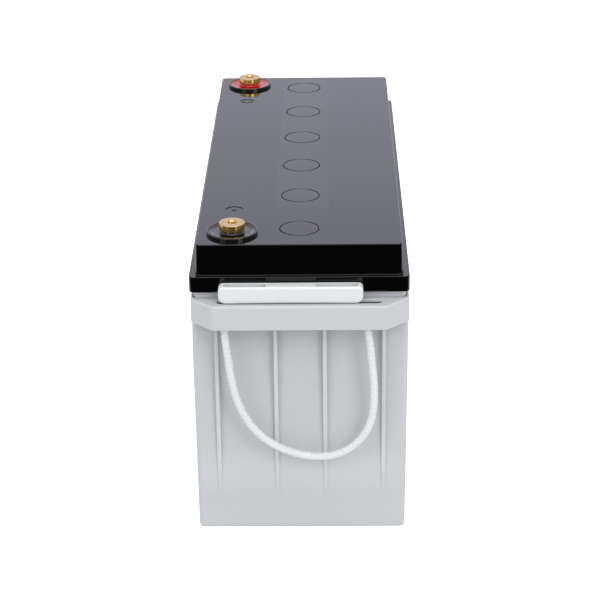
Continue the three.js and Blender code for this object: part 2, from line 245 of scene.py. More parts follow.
def cleaned(obj, distance=0.02 * mm):
    bm = bmesh.new()
    bm.from_mesh(obj.data)
    bmesh.ops.remove_doubles(bm, verts=bm.verts, dist=distance)
    bmesh.ops.dissolve_degenerate(bm, edges=bm.edges, dist=distance)
    bm.to_mesh(obj.data)
    bm.free()


def smoothAll(obj):
    for face in obj.data.polygons:
        face.use_smooth = True
    return obj


# smooth shading that keeps the flats flat
def shaded(obj, angle=38):
    smoothAll(obj)
    obj.data.set_sharp_from_angle(angle=math.radians(angle))
    modifier = obj.modifiers.new("flats", "WEIGHTED_NORMAL")
    modifier.keep_sharp = True
    modifier.weight = 90


def finishPiece(obj, material, body, nodes):
    obj.data.materials.clear()
    obj.data.materials.append(material)
    if body:
        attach(obj, body)
    if nodes:
        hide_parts(*nodes)


def newGroup(name, inputs, outputs):
    group = bpy.data.node_groups.new(name, "ShaderNodeTree")
    for label, value in inputs.items():
        kind = "Vector" if value is None else "Color" if isinstance(value, tuple) else "Float"
        socket = group.interface.new_socket(label, in_out="INPUT", socket_type="NodeSocket" + kind)
        if value is not None:
            socket.default_value = value
    for label in outputs:
        kind = "Color" if label == "Color" else "Float"
        group.interface.new_socket(label, in_out="OUTPUT", socket_type="NodeSocket" + kind)
    given = group.nodes.new("NodeGroupInput").outputs
    return group, given, group.nodes.new("NodeGroupOutput").inputs


# each value is a socket to link from, or a constant
def feed(tree, inputs, values):
    for key, value in values.items():
        if isinstance(value, bpy.types.NodeSocket):
            tree.links.new(value, inputs[key])
        else:
            inputs[key].default_value = value


def node(tree, kind, values=None, **settings):
    made = tree.nodes.new(kind)
    for key, value in settings.items():
        setattr(made, key, value)
    feed(tree, made.inputs, values or {})
    return made


# a Math node fed with sockets or numbers
def chain(tree, operation, *values):
    return node(tree, "ShaderNodeMath", dict(enumerate(values)), operation=operation).outputs[0]


def scaledColor(tree, color, amount):
    return node(tree, "ShaderNodeVectorMath", {0: color, "Scale": amount}, operation="SCALE").outputs[0]


# moulded plastic: a fine even grain, and slow changes of tone over the whole piece. Gain and Lift
# make chosen places lighter; they carry painted light, on the case's rib fronts and as a painted sheen on
# the lid
def makeGrainGroup():
    group, given, out = newGroup(
        "mouldedGrain",
        {"Vector": None, "Color": (0.5, 0.5, 0.5, 1), "Grain Scale": 900, "Tone Scale": 9,
         "Tone Amount": 0.03, "Roughness": 0.4, "Roughness Spread": 0.05, "Gain": 1, "Lift": 0},
        ("Color", "Roughness", "Height"))
    fine = node(group, "ShaderNodeTexNoise", {
        "Vector": given["Vector"], "Scale": given["Grain Scale"], "Detail": 3.0, "Roughness": 0.55})
    slow = node(group, "ShaderNodeTexNoise", {
        "Vector": given["Vector"], "Scale": given["Tone Scale"], "Detail": 2.0, "Roughness": 0.5})
    swing = chain(group, "SUBTRACT", slow.outputs["Fac"], 0.5)
    bright = chain(group, "MULTIPLY_ADD", swing, given["Tone Amount"], 1.0)
    gained = scaledColor(group, scaledColor(group, given["Color"], bright), given["Gain"])
    lifted = node(group, "ShaderNodeVectorMath", {0: gained, 1: given["Lift"]}, operation="ADD")
    mixed = chain(group, "ADD", chain(group, "MULTIPLY", fine.outputs["Fac"], 0.4), swing)
    rough = chain(group, "MULTIPLY_ADD", mixed, given["Roughness Spread"], given["Roughness"])
    feed(group, out, {"Color": lifted.outputs[0], "Roughness": rough, "Height": fine.outputs["Fac"]})
    return group


# fibres and felt: fine strands stretched along one axis over a cloudy ground
def makeFibreGroup():
    group, given, out = newGroup(
        "fibreGround", {"Vector": None, "Color": (0.8, 0.8, 0.8, 1), "Scale": 500, "Amount": 0.1},
        ("Color", "Height"))
    strands = node(group, "ShaderNodeTexNoise", {
        "Vector": given["Vector"], "Scale": given["Scale"], "Detail": 5.0, "Roughness": 0.7,
        "Distortion": 0.6})
    swing = chain(group, "SUBTRACT", strands.outputs["Fac"], 0.5)
    bright = chain(group, "MULTIPLY_ADD", swing, given["Amount"], 1.0)
    feed(group, out, {"Color": scaledColor(group, given["Color"], bright),
                      "Height": strands.outputs["Fac"]})
    return group


grainGroup = makeGrainGroup()
fibreGroup = makeFibreGroup()


# the material, its tree, its shader's inputs, and the object's own coordinates
def newMaterial(name, shaderValues):
    material = bpy.data.materials.new(name)
    material.use_nodes = True
    tree = material.node_tree
    tree.nodes.clear()
    shader = node(tree, "ShaderNodeBsdfPrincipled", shaderValues)
    node(tree, "ShaderNodeOutputMaterial", {"Surface": shader.outputs[0]})
    return material, tree, shader.inputs, tree.nodes.new("ShaderNodeTexCoord").outputs["Object"]


def splitAxes(tree, place):
    return node(tree, "ShaderNodeSeparateXYZ", {0: place}).outputs


def bumpInto(tree, shader, height, strength, distance, under=None):
    bump = node(tree, "ShaderNodeBump", {"Strength": strength, "Distance": distance, "Height": height})
    if under is not None:
        tree.links.new(under, bump.inputs["Normal"])
    tree.links.new(bump.outputs["Normal"], shader["Normal"])
    return bump.outputs["Normal"]


# moulded or cast surfaces, all from the one grain group
def grainMaterial(name, look, shaderValues=None):
    material, tree, shader, place = newMaterial(name, shaderValues or {})
    grain = node(tree, "ShaderNodeGroup", {
        "Vector": place, "Color": (*look["color"], 1), "Grain Scale": look["grain"],
        "Tone Scale": look["tone"], "Tone Amount": look["toneAmount"], "Roughness": look["roughness"],
        "Roughness Spread": look["spread"]}, node_tree=grainGroup)
    feed(tree, shader, {"Base Color": grain.outputs["Color"], "Roughness": grain.outputs["Roughness"]})
    bumpInto(tree, shader, grain.outputs["Height"], look["bump"], look["depth"])
    return material, tree, grain.inputs, place


def fibreMaterial(name, look, shaderValues):
    material, tree, shader, place = newMaterial(name, shaderValues)
    stretch = node(tree, "ShaderNodeMapping", {"Vector": place, "Scale": look["stretch"]})
    fibre = node(tree, "ShaderNodeGroup", {
        "Vector": stretch.outputs[0], "Color": (*look["color"], 1), "Scale": look["scale"],
        "Amount": look["amount"]}, node_tree=fibreGroup)
    tree.links.new(fibre.outputs["Color"], shader["Base Color"])
    normal = bumpInto(tree, shader, fibre.outputs["Height"], look["bump"], look["depth"])
    return material, tree, shader, place, normal


lookColumns = ("color", "grain", "tone", "toneAmount", "roughness", "spread", "bump", "depth")
looks = {
    "caseGrey": ((0.452, 0.464, 0.484), 1500, 7, 0.05, 0.42, 0.08, 0.12, 0.00012),
    "lidBlack": ((0.0015, 0.0014, 0.0016), 90, 6, 0.3, 0.055, 0.05, 0.05, 0.00008),
    "gripWhite": ((0.61, 0.63, 0.635), 1200, 25, 0.04, 0.36, 0.08, 0.08, 0.0001),
    "sealBlack": ((0.006, 0.006, 0.007), 160, 40, 0.3, 0.09, 0.06, 0.08, 0.0001),
    "sealRed": ((0.36, 0.003, 0.005), 160, 40, 0.25, 0.08, 0.06, 0.08, 0.0001),
    "valveRubber": ((0.03, 0.03, 0.03), 1800, 50, 0.3, 0.7, 0.15, 0.3, 0.0002),
    "castLead": ((0.33, 0.34, 0.36), 700, 60, 0.35, 0.45, 0.3, 0.3, 0.0003),
    "positivePaste": ((0.075, 0.042, 0.028), 1100, 45, 0.6, 0.88, 0.1, 0.6, 0.0003),
    "negativePaste": ((0.19, 0.2, 0.21), 1100, 45, 0.4, 0.78, 0.15, 0.5, 0.0003),
}
looks = {name: dict(zip(lookColumns, row)) for name, row in looks.items()}
shaderExtras = {
    "castLead": {"Metallic": 0.85},
    "gripWhite": {"Subsurface Weight": 0.25, "Subsurface Radius": (1.0, 1.0, 1.0),
                  "Subsurface Scale": 0.0015},
}
materials = {name: grainMaterial(name, look, shaderExtras.get(name))[0] for name, look in looks.items()
             if name not in ("lidBlack", "caseGrey")}

# painted light: where the rib fronts are coloured lighter, and by how much
paintedRibLight = {"near": 0.2200, "far": 0.2216, "low": 0.03, "full": 0.06, "top": 0.1828, "gain": 0.13}


# the case's plastic, with painted light: the fronts of the ribs are coloured a little lighter, standing in
# for the shade on the deeper panels between them
def makeCaseMaterial():
    material, tree, grain, place = grainMaterial("caseGrey", looks["caseGrey"], {"IOR": 1.5})
    axes = splitAxes(tree, place)
    reach = node(tree, "ShaderNodeMapRange", {
        "Value": chain(tree, "ABSOLUTE", axes["Y"]),
        "From Min": paintedRibLight["near"], "From Max": paintedRibLight["far"]})
    rise = node(tree, "ShaderNodeMapRange", {
        "Value": axes["Z"], "From Min": paintedRibLight["low"], "From Max": paintedRibLight["full"]})
    below = chain(tree, "LESS_THAN", axes["Z"], paintedRibLight["top"])
    mask = chain(tree, "MULTIPLY", chain(tree, "MULTIPLY", reach.outputs[0], rise.outputs[0]), below)
    tree.links.new(chain(tree, "MULTIPLY_ADD", mask, paintedRibLight["gain"], 1.0), grain["Gain"])
    return material


materials["caseGrey"] = makeCaseMaterial()


# painted sheen: the band on the lid's top whose colour is lifted, and by how much
paintedLidSheen = {"xs": (-19.4, 23.5), "start": -144, "gain": 0.007}


# the lid's plastic, with a painted sheen: a touch lighter along a lengthwise band where the top reflects
# lighter
def makeLidMaterial():
    material, tree, grain, place = grainMaterial("lidBlack", looks["lidBlack"], {"IOR": 1.45})
    axes = splitAxes(tree, place)
    left, right = paintedLidSheen["xs"]
    inside = chain(tree, "MULTIPLY", chain(tree, "GREATER_THAN", axes["X"], left * mm),
                   chain(tree, "LESS_THAN", axes["X"], right * mm))
    behind = chain(tree, "GREATER_THAN", axes["Y"], paintedLidSheen["start"] * mm)
    mask = chain(tree, "MULTIPLY", inside, behind)
    tree.links.new(chain(tree, "MULTIPLY", mask, paintedLidSheen["gain"]), grain["Lift"])
    return material


materials["lidBlack"] = makeLidMaterial()

ropeLook = {"color": (0.60, 0.615, 0.63), "scale": 900, "amount": 0.12, "bump": 0.25, "depth": 0.0002,
            "stretch": (1, 1, 1)}
matLook = {"color": (0.82, 0.81, 0.76), "scale": 300, "amount": 0.25, "bump": 0.5, "depth": 0.0004,
           "stretch": (1, 1, 4)}
ropeShader = {"Roughness": 0.72, "Sheen Weight": 0.15, "Sheen Roughness": 0.5}
materials["ropeWhite"] = fibreMaterial("ropeWhite", ropeLook, ropeShader)[0]
materials["glassMat"] = fibreMaterial("glassMat", matLook, {"Roughness": 0.95})[0]

brassLook = {"flank": (0.86, 0.56, 0.17), "topTone": (0.55, 0.395, 0.2), "dark": (0.36, 0.235, 0.09),
             "topFrom": 0.2541, "tarnish": 0.3, "patches": 180.0, "roughness": 0.2, "dulled": 0.14,
             "rings": 900, "bump": 0.02, "depth": 0.00004}


def mixedColor(tree, amount, first, second):
    colors = {"Factor": amount, 6: first, 7: second}
    return node(tree, "ShaderNodeMix", colors, data_type="RGBA").outputs[2]


# turned brass: fine rings about the piece's own axis, a slow tarnish, and a top face coloured darker and
# greyer than the flanks
def makeBrassMaterial():
    material, tree, shader, place = newMaterial("terminalBrass", {"Metallic": 1.0})
    axes = splitAxes(tree, place)
    squares = [chain(tree, "POWER", axes[label], 2.0) for label in ("X", "Y")]
    radial = chain(tree, "SQRT", chain(tree, "ADD", *squares))
    along = chain(tree, "ADD", radial, axes["Z"])
    rings = chain(tree, "SINE", chain(tree, "MULTIPLY", along, brassLook["rings"] * 2 * math.pi))
    tarnish = node(tree, "ShaderNodeTexNoise", {
        "Vector": place, "Scale": brassLook["patches"], "Detail": 4.0, "Roughness": 0.6})
    spread = node(tree, "ShaderNodeMapRange", {
        "Value": tarnish.outputs["Fac"], "From Min": 0.35, "From Max": 0.75}).outputs["Result"]
    # above this height the top face takes a darker, greyer colour than the flanks
    top = chain(tree, "GREATER_THAN", axes["Z"], brassLook["topFrom"])
    faceColor = mixedColor(tree, top, (*brassLook["flank"], 1), (*brassLook["topTone"], 1))
    dark = chain(tree, "MULTIPLY", spread, brassLook["tarnish"])
    feed(tree, shader, {
        "Base Color": mixedColor(tree, dark, faceColor, (*brassLook["dark"], 1)),
        "Roughness": chain(tree, "MULTIPLY_ADD", spread, brassLook["dulled"], brassLook["roughness"])})
    bumpInto(tree, shader, rings, brassLook["bump"], brassLook["depth"])
    return material


materials["terminalBrass"] = makeBrassMaterial()


rope = {"diameter": 5.5 * mm, "crown": 3.15 * mm, "y": -231.6 * mm, "strands": 4, "crossing": 4.2 * mm,
        "sides": 60, "step": 0.35 * mm, "smooth": 24, "relief": 1.0 * mm, "gripRelief": 0.5 * mm,
        "lift": 0.26 * mm, "packing": 1.9, "filaments": 3, "filamentDepth": 0.03 * mm, "pathEvery": 8}

loopRoute = [
    (-55, 203.1), (-55.2, 200.5), (-56.2, 195), (-57.6, 187.5), (-58, 178.5), (-57.3, 168), (-56, 157.5),
    (-53.8, 139), (-50.2, 121.7), (-44.4, 106.6), (-36.8, 94.2), (-27.9, 85.2), (-18.6, 78.6),
    (-8.8, 74), (2.5, 70.6), (13.8, 69.4), (25.2, 70.6), (36.4, 75.4), (45.6, 83.2),
    (52, 92.6), (55.6, 102.9), (57.3, 114.4), (57.6, 126.5), (57, 138.8), (55.6, 154),
    (54.2, 168), (52.7, 178.8), (50.4, 185.7), (47.4, 190.3), (44.4, 194.9), (42.6, 198.9), (42, 203.1),
]
gripRoute = [
    (-55, 203.5), (-54.6, 205.8), (-53.4, 207.6), (-51.6, 208.8), (-49.2, 209.2), (-30, 209.2),
    (-6.5, 209.2), (17, 209.2), (36.2, 209.2), (38.6, 208.8), (40.4, 207.6), (41.6, 205.8), (42, 203.5),
]


# a smooth line through the route, in points an even step apart
def evenLine(route, step):
    points = np.array([(x * mm, z * mm) for x, z in route])
    points = np.vstack([2 * points[0] - points[1], points, 2 * points[-1] - points[-2]])
    dense = []
    for i in range(1, len(points) - 2):
        before, start, stop, after = points[i - 1:i + 3]
        spans = ((before, start), (start, stop), (stop, after))
        gaps = [math.sqrt(np.linalg.norm(b - a)) for a, b in spans]
        leave = ((start - before) / gaps[0] - (stop - before) / (gaps[0] + gaps[1])
                 + (stop - start) / gaps[1]) * gaps[1]
        arrive = ((stop - start) / gaps[1] - (after - start) / (gaps[1] + gaps[2])
                  + (after - stop) / gaps[2]) * gaps[1]
        for t in np.linspace(0, 1, rope["smooth"], endpoint=False):
            dense.append(start + leave * t + (3 * (stop - start) - 2 * leave - arrive) * t ** 2
                         + (2 * (start - stop) + leave + arrive) * t ** 3)
    dense = np.array([*dense, points[-2]])
    run = np.concatenate([[0], np.cumsum(np.linalg.norm(np.diff(dense, axis=0), axis=1))])
    marks = np.linspace(0, run[-1], int(round(run[-1] / step)) + 1)
    return np.column_stack([np.interp(marks, run, dense[:, 0]), np.interp(marks, run, dense[:, 1])]), run[-1]


# how far a point of a braided sleeve stands out, from 0 to 1: two crossing families of strands,
# each going over and under the other
def braidHeight(turn, run):
    around, along = rope["strands"] * turn / (2 * np.pi), run / rope["crossing"]
    lift, fine = rope["lift"] / rope["relief"], rope["filamentDepth"] / rope["relief"]
    heights = []
    for sign in (1, -1):
        own, other = around + sign * along, around - sign * along
        index = np.round(own)
        offset = own - index
        heights.append(np.sqrt(np.clip(1 - (rope["packing"] * offset) ** 2, 0, 1))
                       + sign * lift * np.cos(np.pi * (other + index))
                       + fine * np.cos(2 * np.pi * rope["filaments"] * offset))
    full = 1 + lift + fine
    return np.clip(np.maximum(*heights), 0, full) / full


# a tube round a line that lies in the plane y = rope y, with the braid in its surface
def ropeMesh(name, line, radius, relief=rope["relief"], sides=rope["sides"]):
    ahead = np.gradient(line, axis=0)
    ahead /= np.linalg.norm(ahead, axis=1)[:, None]
    run = np.concatenate([[0], np.cumsum(np.linalg.norm(np.diff(line, axis=0), axis=1))])
    turn = np.arange(sides) * 2 * np.pi / sides
    height = braidHeight(turn[None, :], run[:, None]) if relief else 1.0
    size = radius - relief * (1 - height) * np.ones((len(line), sides))
    across = size * np.cos(turn)[None, :]
    x = line[:, 0][:, None] - ahead[:, 1][:, None] * across
    z = line[:, 1][:, None] + ahead[:, 0][:, None] * across
    y = rope["y"] + size * np.sin(turn)[None, :]
    rings = np.stack([x, y, z], axis=2)
    return loft(name, [[tuple(p) for p in ring] for ring in rings])


def halfTurn(side):
    return Matrix.Rotation(0 if side == 1 else math.pi, 4, "Z")


# the two ropes: the loop that hangs from the ledge, the run inside the grip, and the two short
# legs between them
def makeRopes():
    loopLine, loopLength = evenLine(loopRoute, rope["step"])
    gripLine, gripLength = evenLine(gripRoute, rope["step"])
    print("rope loop", round(loopLength, 4), "m, run in the grip", round(gripLength, 4), "m")
    for end, side in ends.items():
        turn = halfTurn(side)
        loop = smoothAll(addObject(f"{end}HangingRope", ropeMesh("loop", loopLine, rope["crown"])))
        loop.data.transform(turn)
        finishPiece(loop, materials["ropeWhite"], batteryBody, [f"{end}_rope_loop"])
        route = [tuple(turn @ Vector((x, rope["y"], z))) for x, z in loopLine[::rope["pathEvery"]]]
        route.append(tuple(turn @ Vector((loopLine[-1][0], rope["y"], loopLine[-1][1]))))
        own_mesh(loop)
        run = ropeMesh("run", gripLine, rope["diameter"] / 2, relief=rope["gripRelief"])
        inner = smoothAll(addObject(f"{end}GripRope", run))
        inner.data.transform(turn)
        finishPiece(inner, materials["ropeWhite"], f"{end}_handle", [f"{end}_grip_rope"])
        for label, x in (("A", loopRoute[0][0]), ("B", loopRoute[-1][0])):
            makeRopeLeg(f"{end}RopeLeg{label}", x * mm, turn)


leg = {"low": 196.5 * mm, "high": 206 * mm, "radius": 2.68 * mm, "sides": 48, "rings": 160}


# a short straight stretch of rope that stands in a slot, between the loop and the grip's run
def makeRopeLeg(name, x, turn):
    line = np.column_stack([np.full(leg["rings"], x), np.linspace(leg["low"], leg["high"], leg["rings"])])
    piece = smoothAll(addObject(name, ropeMesh("leg", line, leg["radius"], relief=0, sides=leg["sides"])))
    piece.data.transform(turn)
    centre = turn @ Vector((x, rope["y"], 0))
    finishPiece(piece, makeLegMaterial(name, centre), None, [])
    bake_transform(piece)


# the rope's braid as a height, from a point and the rope's own upright axis
def makeBraidGroup():
    group, given, out = newGroup(
        "braidRelief", {"Vector": None, "Centre X": 0, "Centre Y": 0}, ("Height",))
    axes = splitAxes(group, given["Vector"])
    angle = chain(group, "ARCTAN2", chain(group, "SUBTRACT", axes["Y"], given["Centre Y"]),
                  chain(group, "SUBTRACT", axes["X"], given["Centre X"]))
    around = chain(group, "MULTIPLY", angle, rope["strands"] / (2 * math.pi))
    along = chain(group, "DIVIDE", axes["Z"], rope["crossing"])
    heights = []
    for sign in (1.0, -1.0):
        own = chain(group, "MULTIPLY_ADD", along, sign, around)
        other = chain(group, "MULTIPLY_ADD", along, -sign, around)
        index = chain(group, "ROUND", own)
        offset = chain(group, "MULTIPLY", chain(group, "SUBTRACT", own, index), rope["packing"])
        square = chain(group, "POWER", chain(group, "ABSOLUTE", offset), 2.0)
        crown = chain(group, "SQRT", chain(group, "MAXIMUM", chain(group, "SUBTRACT", 1.0, square), 0.0))
        wave = chain(group, "COSINE", chain(group, "MULTIPLY", chain(group, "ADD", other, index), math.pi))
        heights.append(chain(group, "MULTIPLY_ADD", wave, sign * rope["lift"] / rope["relief"], crown))
    feed(group, out, {"Height": chain(group, "MAXIMUM", *heights)})
    return group


braidGroup = makeBraidGroup()


def makeLegMaterial(name, centre):
    material, tree, shader, place, normal = fibreMaterial(name + "Braid", ropeLook, ropeShader)
    braid = node(tree, "ShaderNodeGroup", {
        "Vector": place, "Centre X": centre.x, "Centre Y": centre.y}, node_tree=braidGroup)
    bumpInto(tree, shader, braid.outputs["Height"], 1.0, rope["relief"], normal)
    return material


makeRopes()
print("ropes made")


case = {"baseX": 82.75, "pocketX": 83, "ledgeX": 84.3, "topX": 84.5, "neckX": 82.2,
        "baseY": 222, "upperY": 215, "pocketZ": 28.5, "ledgeZ": 183, "topZ": 203, "rimZ": 217.8,
        "corner": 4, "footRadius": 2.6, "footEnd": 0.3, "wall": 3.5, "floor": 4, "cavityX": 79,
        "ribs": (-65.5, -19.3, 19.3, 65.5), "ribWide": (3.5, 2.9), "ribRound": 0.45, "ribFillet": 0.35,
        "ribTop": 202, "shoulder": 0.9, "levels": (16, 31, 36, 44, 56, 72, 90, 112, 136, 160, 193)}
ledge = {"halfX": 84.45, "front": 241.5, "chamfer": 17.5, "back": 212, "plate": 2, "skirt": 3.5,
         "edge": 1.6, "lip": 0.9, "corner": 3.0}
slotHole = {"inner": 38, "outer": 63.5, "y": -231.6, "wide": 6.2, "edge": 0.6}
cells = {"pitch": 70.9, "partition": 2.4, "linkX": 52, "corner": 3, "linkHalf": 7,
         "linkZ": (196.3, 205.1)}


def share(value, low, high):
    return min(1.0, max(0.0, (value - low) / (high - low)))


# how far out the end wall stands between the ribs
def wallY(z):
    return case["baseY"] + (case["upperY"] - case["baseY"]) * share(z, case["pocketZ"], case["ledgeZ"])


def sideX(z):
    if z <= case["pocketZ"]:
        return case["baseX"] + (case["pocketX"] - case["baseX"]) * z / case["pocketZ"]
    low, high, start, stop = "pocketZ", "ledgeZ", "pocketX", "ledgeX"
    if z > case["ledgeZ"]:
        low, high, start, stop = "ledgeZ", "topZ", "ledgeX", "topX"
    return case[start] + (case[stop] - case[start]) * share(z, case[low], case[high])


# the -Y end's outline from its left side to its right side: a corner, the four ribs, a corner
def endProfile(halfX, y, corner, ribWide, ribY):
    fit = share(ribY - y, 0, case["ribFillet"] + case["ribRound"])
    fillet, crest = case["ribFillet"] * fit, case["ribRound"] * fit
    points = arc(-halfX + corner, -y + corner, corner, math.pi, 8)
    for x in case["ribs"]:
        edge = x - ribWide / 2
        left = [(px, py) for py, px in arc(-y - fillet, edge - fillet, fillet, 0, 4)]
        left += arc(edge + crest, -ribY + crest, -crest, 0, 4)
        points += left + [(2 * x - px, py) for px, py in reversed(left)]
    return points + arc(halfX - corner, -y + corner, corner, math.pi * 1.5, 8)


def caseRing(z, inset=0.0, halfX=None, y=None, ribs=True, insetY=None):
    halfX = sideX(z) if halfX is None else halfX
    y = wallY(z) if y is None else y
    wide = case["ribWide"][0] + (case["ribWide"][1] - case["ribWide"][0]) * share(z, 0, case["ledgeZ"])
    insetY = inset if insetY is None else insetY
    front = endProfile(halfX - inset, y - insetY, case["corner"] - inset, wide,
                       case["baseY"] - insetY if ribs else y - insetY)
    return metres([(x, y, z) for x, y in front] + [(-x, -y, z) for x, y in front])


def caseBody():
    plain = {"y": case["baseY"], "ribs": False}
    rings = [caseRing(drop, inset, insetY=inset * case["footEnd"])
             for inset, drop in reversed(list(bend(case["footRadius"], 6)))]
    levels = (*case["levels"], case["pocketZ"], case["ledgeZ"], case["ribTop"])
    rings += [caseRing(z) for z in sorted(levels)]
    rings.append(caseRing(case["ribTop"], **plain))
    rings += [caseRing(case["topZ"] - drop, halfX=case["topX"] - inset, **plain)
              for inset, drop in bend(case["shoulder"], 4)]
    rings += [caseRing(z, halfX=case["neckX"], **plain) for z in (case["topZ"], case["rimZ"])]
    return loft("body", rings)


def ledgeRing(inset, z):
    halfX, front, corner = ledge["halfX"] - inset, ledge["front"] - inset, ledge["corner"]
    cut = ledge["halfX"] + ledge["front"] - ledge["chamfer"] - inset * math.sqrt(2)
    side, nose, back = cut - halfX, cut - front, ledge["back"]
    corners = [(-halfX, -back, 0), (-halfX, -side, corner), (-nose, -front, corner),
               (nose, -front, corner), (halfX, -side, corner), (halfX, -back, 0)]
    return metres([(x, y, z) for x, y in softened(corners, 6)])


def ledgeMesh():
    top, bottom = case["topZ"], case["ledgeZ"]
    section = [(ledge["skirt"], top - ledge["plate"], 0), (ledge["skirt"], bottom, 0.6),
               (0, bottom, ledge["lip"]), (0, top, ledge["edge"]), (ledge["edge"] + 1, top, 0)]
    path = softened(section, 5, closed=False)
    return loft("ledge", [ledgeRing(inset, z) for inset, z in path])


# a slot with rounded ends, flared at the top
def slotTool(side):
    half, wide = (slotHole["outer"] - slotHole["inner"]) / 2, slotHole["wide"] / 2
    centre = (side * (slotHole["inner"] + half), slotHole["y"])
    hair = 0.01   # keeps the slot's short sides from having no length at all
    levels = [(case["topZ"] - ledge["plate"] - past, 0.0)]
    levels += [(case["topZ"] - drop, inset) for inset, drop in bend(slotHole["edge"], 4)]
    levels.append((case["topZ"] + past, slotHole["edge"]))
    return loft("slot", [metres(roundRect(half + grow, wide + grow, wide + grow - hair, z, 8, centre))
                         for z, grow in levels])


# the space of one cell
def cavityMesh(index):
    middle = (index - (cellCount - 1) / 2) * cells["pitch"]
    half = (cells["pitch"] - cells["partition"]) / 2
    rings = []
    for z in (case["floor"], case["pocketZ"], case["ledgeZ"], case["topZ"], case["rimZ"] + past):
        outer = (case["baseY"] if z >= case["topZ"] else wallY(z)) - case["wall"]
        low = -outer if index == 0 else middle - half
        high = outer if index == cellCount - 1 else middle + half
        rings.append(metres(roundRect(case["cavityX"], (high - low) / 2, cells["corner"], z, 4,
                                      (0, (low + high) / 2))))
    return loft("cavity", rings)


def linkWindow(index):
    x = cells["linkX"] * (1 if index % 2 == 0 else -1)
    y = (index + 1 - cellCount / 2) * cells["pitch"]
    half, deep = cells["linkHalf"], cells["partition"]
    return boxMesh((x - half, x + half), (y - deep, y + deep), cells["linkZ"])


# the moulding isn't quite even: how far each flank stands out from the drawing, by height
lean = {"left": ((0, -0.6), (182, -0.5), (184, 0.3), (218, 0.2)),
        "right": ((0, 0.3), (182, 0.7), (184, 0.5), (218, 0.3))}
flankFrom = 70   # how far out from the middle a point belongs to a flank


def leaned(mesh):
    for vertex in mesh.vertices:
        if abs(vertex.co.x) > flankFrom * mm:
            table = lean["right" if vertex.co.x > 0 else "left"]
            vertex.co.x += float(np.interp(vertex.co.z / mm, *zip(*table))) * mm


def makeCase():
    body = addObject("caseShell", caseBody())
    for side in ends.values():
        shelf = addObject("shelf", ledgeMesh())
        carve(shelf, joined("slots", [slotTool(-1), slotTool(1)]))
        shelf.data.transform(halfTurn(side))
        tool = shelf.data
        bpy.data.objects.remove(shelf)
        carve(body, tool, "UNION")
    carve(body, joined("cavities", [cavityMesh(i) for i in range(cellCount)]))
    carve(body, joined("windows", [linkWindow(i) for i in range(cellCount - 1)]))
    cleaned(body)
    leaned(body.data)
    shaded(body)
    finishPiece(body, materials["caseGrey"], batteryBody, ["case"])


makeCase()
print("case made")


lid = {"flangeX": 85, "flangeY": 225.5, "flangeLow": 208.3, "flangeTop": 221.1, "plate": 3,
       "baseX": 80.1, "baseY": 222, "topX": 79.5, "topY": 221, "top": 246, "roof": 3, "wall": 3.4,
       "corner": 4, "edge": 0.7, "flangeEdge": 0.5, "flangeLowEdge": 0.5, "step": 0.3,
       "neckX": 82.5, "neckY": 222.3}
vent = {"pitch": 74.6, "cover": 15, "well": 15.6, "seat": 13.4, "thick": 2.3, "depth": 9.6, "cup": 2,
        "chimney": 6.4, "bore": 1.6, "chimneyDrop": 4.4, "edge": 0.45, "wellEdge": 0.35, "gap": 0.3,
        "cupTop": 1.5, "collar": (11.4, 12.9), "collarDeep": 3.4, "soft": 0.3}
terminal = {"x": -52, "y": 195, "top": 254.8, "radius": 10.1, "head": 5.4, "stem": 8, "bottom": 226}
well = {"radius": 17.9, "floor": 242, "boss": 20.2, "rim": 2.6, "bossFloor": 4, "edge": 0.8, "mouth": 0.5,
        "gap": 0.3}
mark = {"x": -52.6, "y": 144, "radius": 7.1, "line": 1.2, "deep": 0.4, "bar": 5.4, "shortBar": 1.8}
seam = {"half": 0.12, "deep": 0.025,
        "lines": ((-144, -21, 76), (5, -24, 28), (153, -25, 28), (170, -77, -60))}   # y, from x, to x
ventYs = [(i - (cellCount - 1) / 2) * vent["pitch"] for i in range(cellCount)]


def lidRing(halfX, halfY, z, inset=0.0):
    return metres(roundRect(halfX - inset, halfY - inset, max(0.4, lid["corner"] - inset), z, 10))


def lidBody():
    ceiling, plate = lid["top"] - lid["roof"], lid["flangeTop"] - lid["plate"]
    inner, neck = (lid["topX"] - lid["wall"], lid["topY"] - lid["wall"]), (lid["neckX"], lid["neckY"])
    flange, small, step = (lid["flangeX"], lid["flangeY"]), lid["flangeLowEdge"], lid["step"]
    rings = [lidRing(*inner, ceiling), lidRing(*inner, plate),
             lidRing(*neck, plate), lidRing(*neck, lid["flangeLow"])]
    rings += [lidRing(*flange, lid["flangeLow"] + small - rise, inset)
              for inset, rise in reversed(list(quarter(small)))]
    rings += [lidRing(*flange, lid["flangeTop"] - lid["flangeEdge"] + rise, inset)
              for inset, rise in quarter(lid["flangeEdge"])]
    rings += [lidRing(lid["baseX"] + step - rise, lid["baseY"] + step - rise, lid["flangeTop"] + inset)
              for inset, rise in quarter(step)]
    rings += [lidRing(lid["topX"], lid["topY"], lid["top"] - lid["edge"] + rise, inset)
              for inset, rise in quarter(lid["edge"], 7)]
    return loft("lid", rings)


def ventTool():
    floor, step, top = lid["top"] - vent["depth"], lid["top"] - vent["thick"] - vent["gap"], lid["top"]
    rim, stump = vent["well"] + vent["wellEdge"], top - vent["chimneyDrop"]
    return turned("ventWell", metres([
        (vent["chimney"], floor), (vent["seat"], floor), (vent["seat"], step), (vent["well"], step),
        (vent["well"], top - vent["wellEdge"]), (rim, top), (rim, top + past), (0, top + past),
        (0, stump), (vent["chimney"], stump)]), 72)


def ventCup():
    floor = lid["top"] - vent["depth"] - vent["cup"]
    return rod("cup", vent["well"] + vent["cup"], floor, lid["top"] - vent["cupTop"], 48)


def boreTool():
    low = lid["top"] - vent["depth"] - vent["cup"] - past
    return rod("bore", vent["bore"], low, lid["top"] - past, 24)


def bossMesh():
    low, high = well["floor"] - well["bossFloor"], lid["top"] + well["rim"]
    corners = [(0, low, 0), (well["boss"], low, 0), (well["boss"], high, well["edge"]), (0, high, 0)]
    return turned("boss", metres(softened(corners, 5, closed=False)))


